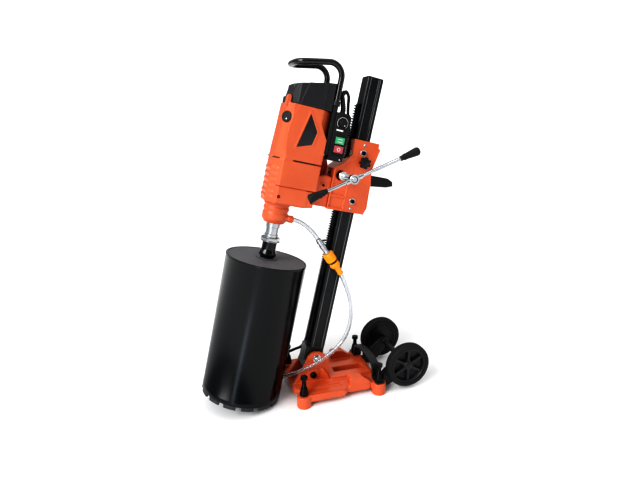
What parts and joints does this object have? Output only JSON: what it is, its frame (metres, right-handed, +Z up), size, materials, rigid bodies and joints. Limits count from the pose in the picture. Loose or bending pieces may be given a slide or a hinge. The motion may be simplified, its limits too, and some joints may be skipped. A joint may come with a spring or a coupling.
{
  "type": "core drill rig",
  "caption": "Stand-mounted wet core drill: a leaning toothed column on a wheeled base carries a hand-cranked carriage with an electric motor and a large tubular bit.",
  "frame": {"origin": "middle of the footprint of the machine (cords left out), on the floor", "axes": "+Z up; +X from the bit towards the wheels; -Y is the side with the feed handle and the switches. The column leans 12.4 degrees from +Z towards +X"},
  "size_m": [0.7362, 0.5953, 1.0415],
  "materials": {
    "orange_casting": "satin",
    "black_paint": "satin",
    "black_anodised": "satin",
    "barrel_paint": "gloss",
    "black_plastic": "matte",
    "grip_rubber": "matte",
    "tyre_rubber": "matte",
    "cord_rubber": "matte",
    "machined_steel": "satin",
    "black_steel": "satin",
    "chrome": "polished",
    "cast_aluminium": "satin",
    "nylon": "satin",
    "copper_windings": "satin",
    "amber_plastic": "gloss",
    "clear_hose": "gloss",
    "start_green": "satin",
    "stop_red": "satin"
  },
  "bodies": {
    "base": {"base_casting": "orange_casting", "lock_nut_front_near": "black_steel", "lock_nut_front_far": "black_steel", "lock_nut_rear_near": "black_steel", "lock_nut_rear_far": "black_steel", "carry_handle": "black_paint", "tilt_pivot_bolt": "black_steel", "tilt_clamp_bolt": "machined_steel", "wheel_frame": "black_paint"},
    "column": {"column_profile": "black_anodised", "gear_rack": "black_steel", "column_foot": "cast_aluminium", "column_cap": "black_plastic", "hose_coil": "clear_hose", "hose_end_coupling": "amber_plastic", "cord_coil": "cord_rubber", "mains_plug": "cord_rubber"},
    "carriage": {"carriage_housing": "orange_casting", "guide_liner": "nylon", "motor_mount": "orange_casting", "carriage_bolt_upper": "machined_steel", "carriage_bolt_lower": "machined_steel", "motor_shell": "orange_casting", "gearbox_housing": "orange_casting", "motor_cap": "black_plastic", "top_handle": "black_paint", "back_plate": "black_plastic", "switch_box": "black_plastic", "brush_cap": "black_plastic", "stator": "copper_windings", "water_line": "clear_hose", "water_valve": "chrome", "hose_connector": "amber_plastic", "supply_hose": "clear_hose", "strain_relief": "cord_rubber", "mains_cord": "cord_rubber"},
    "feed": {"pinion_shaft": "chrome", "feed_bar": "chrome", "grip_short": "grip_rubber", "grip_long": "grip_rubber"},
    "spindle": {"spindle": "machined_steel", "spindle_gear": "machined_steel", "spindle_nut": "chrome", "bit_adapter": "black_steel", "core_barrel": "barrel_paint"},
    "rotor": {"rotor": "machined_steel"},
    "star_knob": {"star_knob": "black_plastic"},
    "lock_lever": {"lock_lever": "black_plastic"},
    "speed_dial": {"speed_dial": "black_plastic"},
    "start_button": {"start_button": "start_green"},
    "stop_button": {"stop_button": "stop_red"},
    "wheel_near": {"wheel_rim_near": "black_plastic", "tyre_near": "tyre_rubber"},
    "wheel_far": {"wheel_rim_far": "black_plastic", "tyre_far": "tyre_rubber"},
    "levelling_screw_front_near": {"levelling_screw_front_near": "black_steel"},
    "levelling_screw_front_far": {"levelling_screw_front_far": "black_steel"},
    "levelling_screw_rear_near": {"levelling_screw_rear_near": "black_steel"},
    "levelling_screw_rear_far": {"levelling_screw_rear_far": "black_steel"}
  },
  "joints": [
    {"name": "column_tilt", "type": "hinge", "parent": "base", "child": "column", "pos_m": [-0.01375, 0.01594, 0.06256], "axis": [0, 1, 0], "range_deg": [-12.4, 22], "deforming": ["supply_hose", "mains_cord"]},
    {"name": "carriage_feed", "type": "slide", "parent": "column", "child": "carriage", "axis": [0.2147, 0, 0.9767], "range_m": [-0.31, 0.17], "deforming": ["supply_hose", "mains_cord"]},
    {"name": "feed_turn", "type": "hinge", "parent": "carriage", "child": "feed", "pos_m": [0.0734, 0.01594, 0.71507], "axis": [0, 1, 0], "range_deg": [-1020, 560]},
    {"name": "spindle_spin", "type": "hinge", "parent": "carriage", "child": "spindle", "pos_m": [-0.13343, 0.01594, 0.54041], "axis": [0.2147, 0, 0.9767], "continuous": true},
    {"name": "rotor_spin", "type": "hinge", "parent": "carriage", "child": "rotor", "pos_m": [-0.05678, 0.01594, 0.72834], "axis": [0.2147, 0, 0.9767], "continuous": true},
    {"name": "star_knob_turn", "type": "hinge", "parent": "carriage", "child": "star_knob", "pos_m": [0.14499, 0.01594, 0.75053], "axis": [0, -1, 0], "range_deg": [0, 720]},
    {"name": "lock_lever_turn", "type": "hinge", "parent": "carriage", "child": "lock_lever", "pos_m": [0.15382, 0.01594, 0.69432], "axis": [0, 1, 0], "range_deg": [-60, 60]},
    {"name": "speed_dial_turn", "type": "hinge", "parent": "carriage", "child": "speed_dial", "pos_m": [0.07079, -0.04806, 0.86616], "axis": [0, -1, 0], "range_deg": [-135, 135]},
    {"name": "start_press", "type": "slide", "parent": "carriage", "child": "start_button", "axis": [0, 1, 0], "range_m": [0, 0.0025], "stiffness_N_per_m": 600, "springref_m": -0.001},
    {"name": "stop_press", "type": "slide", "parent": "carriage", "child": "stop_button", "axis": [0, 1, 0], "range_m": [0, 0.0025], "stiffness_N_per_m": 600, "springref_m": -0.001},
    {"name": "wheel_near_roll", "type": "hinge", "parent": "base", "child": "wheel_near", "pos_m": [0.29315, -0.0936, 0.086], "axis": [0, 1, 0], "continuous": true},
    {"name": "wheel_far_roll", "type": "hinge", "parent": "base", "child": "wheel_far", "pos_m": [0.29315, 0.1254, 0.086], "axis": [0, 1, 0], "continuous": true},
    {"name": "level_front_near", "type": "slide", "parent": "base", "child": "levelling_screw_front_near", "axis": [0, 0, 1], "range_m": [-0.012, 0.03]},
    {"name": "level_front_far", "type": "slide", "parent": "base", "child": "levelling_screw_front_far", "axis": [0, 0, 1], "range_m": [-0.012, 0.03]},
    {"name": "level_rear_near", "type": "slide", "parent": "base", "child": "levelling_screw_rear_near", "axis": [0, 0, 1], "range_m": [-0.012, 0.03]},
    {"name": "level_rear_far", "type": "slide", "parent": "base", "child": "levelling_screw_rear_far", "axis": [0, 0, 1], "range_m": [-0.012, 0.03]}
  ],
  "couplings": [
    {"joint": "feed_turn", "follows": "carriage_feed", "rad_per_m": 57.143},
    {"joint": "rotor_spin", "follows": "spindle_spin", "ratio": -3.6}
  ]
}
